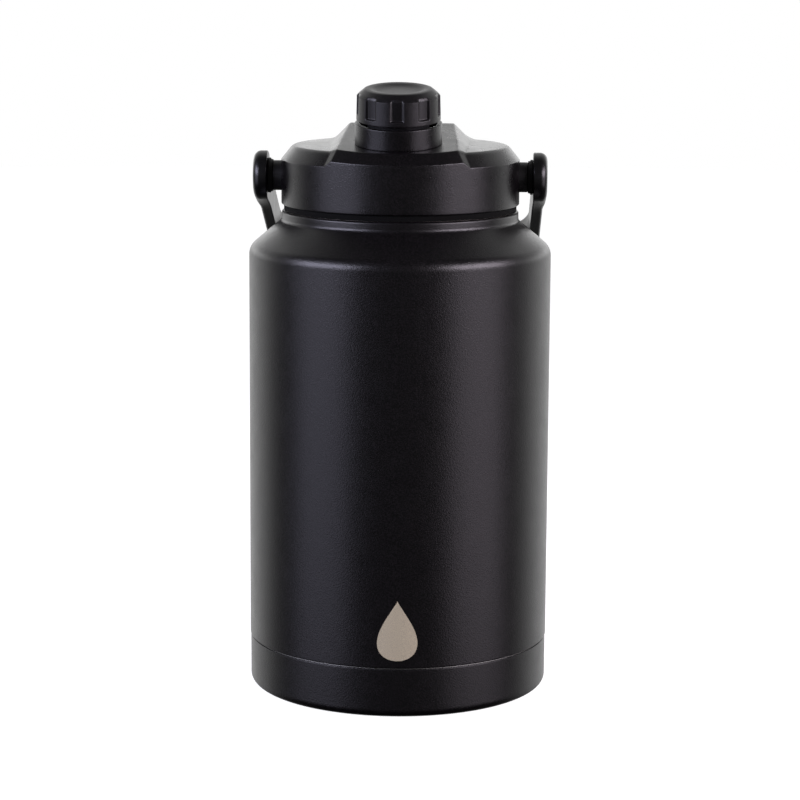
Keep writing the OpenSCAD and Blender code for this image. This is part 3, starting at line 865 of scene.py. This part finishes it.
def foam_material():
    """Rigid foam: closed cells and a few larger pores."""
    made, tree, shader = new_material("insulating_foam", (0.76, 0.7, 0.56), 0.9)
    place = place_in(tree)
    cells = add(tree, "ShaderNodeTexVoronoi", {"Vector": place, "Scale": 1 / 0.8}).outputs["Distance"]
    patch = noise(tree, place, 6, 4, 0.6)
    tint(tree, shader, remap(tree, patch, 0, 1), (0.78, 0.73, 0.6), (0.66, 0.58, 0.42))
    bumps(tree, shader, (cells, 0.15), (patch, 0.2))
    return made


def solder_material():
    """Dull solder with a lumpy skin."""
    made, tree, shader = new_material("grey_solder", (0.33, 0.34, 0.35), 0.5, 1.0)
    place = place_in(tree)
    patch = noise(tree, place, 1.2, 4, 0.6)
    tint(tree, shader, remap(tree, patch, 0, 1), (0.25, 0.26, 0.27), (0.42, 0.43, 0.44))
    bumps(tree, shader, (patch, 0.08))
    return made


BLACK, GLINT = (0.0012, 0.0011, 0.0013), (0.007, 0.0055, 0.0066)  # the coat and its lighter grains


def materials():
    """One material per slot of the record."""
    return {
        "powder_coat": satin("satin_powder_coat", BLACK, GLINT, 0.31, 0.7, 0.1),
        "base_coat": satin("satin_base_coat", BLACK, GLINT, 0.34, 0.7, 0.1),
        "lid_plastic": satin("satin_lid_moulding", BLACK, GLINT, 0.29, 0.7, 0.09),
        "cap_plastic": satin("satin_cap_moulding", BLACK, GLINT, 0.38, 0.7, 0.07),
        "liner_plastic": satin("smooth_dark_plastic", (0.02, 0.02, 0.022), (0.028, 0.028, 0.03),
                               0.3, 1.2, 0.004),
        "handle_plastic": satin("matt_handle_moulding", (0.003, 0.003, 0.003), (0.008, 0.008, 0.008),
                                0.3, 0.35, 0.006),
        "boss_plastic": satin("matt_black_moulding", (0.008, 0.008, 0.008), (0.012, 0.012, 0.012),
                              0.5, 0.4, 0.008),
        # Black silicone, its colour darkened further as painted shade, so the gasket in the gap under the lid
        # ring shows as shadow; the cap's seals share it.
        "silicone": rubber("black_silicone_gap_shade", (0.0015, 0.0015, 0.0015), (0.003, 0.003, 0.003), 0.8, 0.12),
        "washer_rubber": rubber("black_rubber", (0.009, 0.009, 0.009), (0.013, 0.013, 0.013), 0.65),
        "bare_steel": steel("electropolished_steel", (0.62, 0.59, 0.54), 0.3, (0.03, 0.03, 6), 0.004),
        "raw_steel": steel("mill_finish_steel", (0.44, 0.44, 0.42), 0.42, (0.08, 4, 0.08), 0.006),
        "pin_steel": steel("turned_steel", (0.56, 0.55, 0.52), 0.28, (6, 0.4, 0.4), 0.004),
        "foam": foam_material(),
        "solder": solder_material(),
    }


def etched_steel():
    """Steel laid bare by a laser: fine matt grain."""
    made, tree, shader = new_material("etched_steel", (0.5, 0.46, 0.42), 0.55, 0.6)
    place = place_in(tree)
    fine = noise(tree, place, 0.3, 2)
    tint(tree, shader, remap(tree, fine, 0, 1), (0.66, 0.58, 0.42), (0.95, 0.86, 0.62))
    bumps(tree, shader, (fine, 0.01))
    return made


def dress(piece, material):
    """Gives a piece its only material."""
    if piece.material_slots:
        for slot in piece.material_slots:
            slot.link = "OBJECT"
            slot.material = material
    else:
        piece.data.materials.append(material)


def dress_all():
    """Finishes every new piece from its slot, and every CAD node still shown from the record."""
    finish = materials()
    for piece in [o for o in bpy.data.objects if o.type == "MESH" and o.get("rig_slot")]:
        dress(piece, finish[piece["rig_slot"]])
    kept = {"jacket_bottom": "raw_steel", "getter": "raw_steel", "handle_core": "raw_steel",
            "vacuum_seal": "solder", "spout_seal": "silicone", "lid_foam": "foam"}
    for node, slot in kept.items():
        dress(frame["nodes"][node], finish[slot])
    dress(bpy.data.objects["water_drop_mark"], etched_steel())


# ---- camera, floor and light ----

CAM_ORBIT = math.radians(2.0)
CAM_BACK, CAM_HIGH = 1.402, 0.399
CAM_DOWN, CAM_ROLL = math.radians(10.1), 0.0057
CAM_PAN, CAM_LENS = -0.0003, 122.6


def camera():
    """The camera, a little above the lid and a little to the right of the front."""
    data = bpy.data.cameras.new("camera")
    data.lens, data.sensor_width = CAM_LENS, 36
    data.clip_start, data.clip_end = 0.05, 50
    eye = bpy.data.objects.new("camera", data)
    bpy.context.scene.collection.objects.link(eye)
    stand = Matrix.Rotation(CAM_ORBIT, 4, "Z") @ Matrix.Translation((0, -CAM_BACK, CAM_HIGH))
    aim = Matrix.Rotation(CAM_PAN, 4, "Z") @ Matrix.Rotation(math.pi / 2 - CAM_DOWN, 4, "X")
    eye.matrix_world = stand @ aim @ Matrix.Rotation(CAM_ROLL, 4, "Z")
    bpy.context.scene.camera = eye


FLOOR_GLOW = 0.8


def floor():
    """Pale round floor, which only the camera and the shadows see."""
    mesh = bpy.data.meshes.new("floor")
    verts, faces = lathe_data([(0, 0), (3000, 0)], 96, closed=False)
    mesh.from_pydata([Vector(v) * MM for v in verts], [], faces)
    disc = bpy.data.objects.new("floor", mesh)
    bpy.context.scene.collection.objects.link(disc)
    made, tree, shader = new_material("pale_floor", (0.8, 0.8, 0.8), 0.9)
    shader.inputs["Specular IOR Level"].default_value = 0
    shader.inputs["Emission Color"].default_value = (1, 1, 1, 1)
    shader.inputs["Emission Strength"].default_value = FLOOR_GLOW
    mesh.materials.append(made)
    disc.visible_glossy = disc.visible_diffuse = False


def softbox(name, azimuth, elevation, distance, size, watts, colour):
    """A rectangular light turned towards the jug. Azimuth 0 is in front, 90 to the right."""
    data = bpy.data.lights.new(name, "AREA")
    data.shape, data.size, data.size_y = "RECTANGLE", *size
    data.energy, data.color = watts, colour
    lamp = bpy.data.objects.new(name, data)
    bpy.context.scene.collection.objects.link(lamp)
    a, e = math.radians(azimuth), math.radians(elevation)
    aim = Vector((0, 0, 0.15))
    spot = aim + distance * Vector((math.sin(a) * math.cos(e), -math.cos(a) * math.cos(e), math.sin(e)))
    lamp.location = spot
    lamp.rotation_euler = (aim - spot).to_track_quat("-Z", "Y").to_euler()


SKY = 2.0  # strength of the brightest band, behind the jug and just above the horizon
CAMERA_SIDE = 0.065  # share of it left on the camera's side
UNDER, OVERHEAD = 0.04, 0.38  # shares of it underneath and overhead


def world():
    """White surroundings, dark on the camera's side and underneath, and plain white to the camera."""
    made = bpy.data.worlds.new("studio")
    bpy.context.scene.world = made
    made.use_nodes = True
    tree = made.node_tree
    tree.nodes.clear()
    direction = add(tree, "ShaderNodeTexCoord").outputs["Generated"]
    split = add(tree, "ShaderNodeSeparateXYZ", {"Vector": direction})
    level = add(tree, "ShaderNodeMapRange", {
        "Value": split.outputs["Y"], "From Min": 0.1, "From Max": 0.75,
        "To Min": CAMERA_SIDE, "To Max": 1.0}, interpolation_type="SMOOTHSTEP").outputs[0]
    height = add(tree, "ShaderNodeMapRange", {"Value": split.outputs["Z"], "From Min": -1.0}).outputs[0]
    bands = add(tree, "ShaderNodeValToRGB", {"Fac": height})
    stops = bands.color_ramp.elements
    for z, value in ((-0.6, UNDER), (-0.3, 0.5), (0.0, 0.5), (0.07, 1.0), (0.16, 1.0), (0.3, OVERHEAD)):
        stops.new((z + 1) / 2).color = (value, value, value, 1)
    stops[0].color, stops[-1].color = (UNDER, UNDER, UNDER, 1), (OVERHEAD, OVERHEAD, OVERHEAD, 1)
    glow = add(tree, "ShaderNodeMath", {0: bands.outputs[0], 1: SKY}, operation="MULTIPLY").outputs[0]
    lit = add(tree, "ShaderNodeMath", {0: glow, 1: level}, operation="MULTIPLY").outputs[0]
    seen = add(tree, "ShaderNodeLightPath").outputs["Is Camera Ray"]
    power = add(tree, "ShaderNodeMix", {"Factor": seen, "A": lit, "B": 1.0}).outputs[0]
    back = add(tree, "ShaderNodeBackground", {"Color": (1, 1, 1, 1), "Strength": power})
    out = add(tree, "ShaderNodeOutputWorld")
    tree.links.new(back.outputs[0], out.inputs["Surface"])


COOL, WARM = (0.8, 0.79, 1.0), (0.98, 0.88, 1.0)


def lights():
    """A bright and a low, dim soft box on each side of the camera: cooler on the left."""
    softbox("left_key", -58, 23, 1.3, (1.0, 0.55), 13.5, COOL)
    softbox("left_fill", -58, -8, 1.3, (1.0, 0.7), 2.4, COOL)
    softbox("right_key", 63, 23, 1.3, (1.0, 0.55), 14, WARM)
    softbox("right_fill", 63, -8, 1.3, (1.0, 0.7), 2.75, WARM)


# ---- build ----

camera()
outer_shell()
base_cup()
inner_vessel()
lid_gasket()
etched_mark()
lid_shell()
lid_liner()
spout_tube()
spout_collar()
cap_shell()
cap_liner()
cap_seal()
handle_grip()
pivot(-1, "left")
pivot(1, "right")
dress_all()
floor()
world()
lights()
bpy.context.scene.view_settings.view_transform = "Standard"
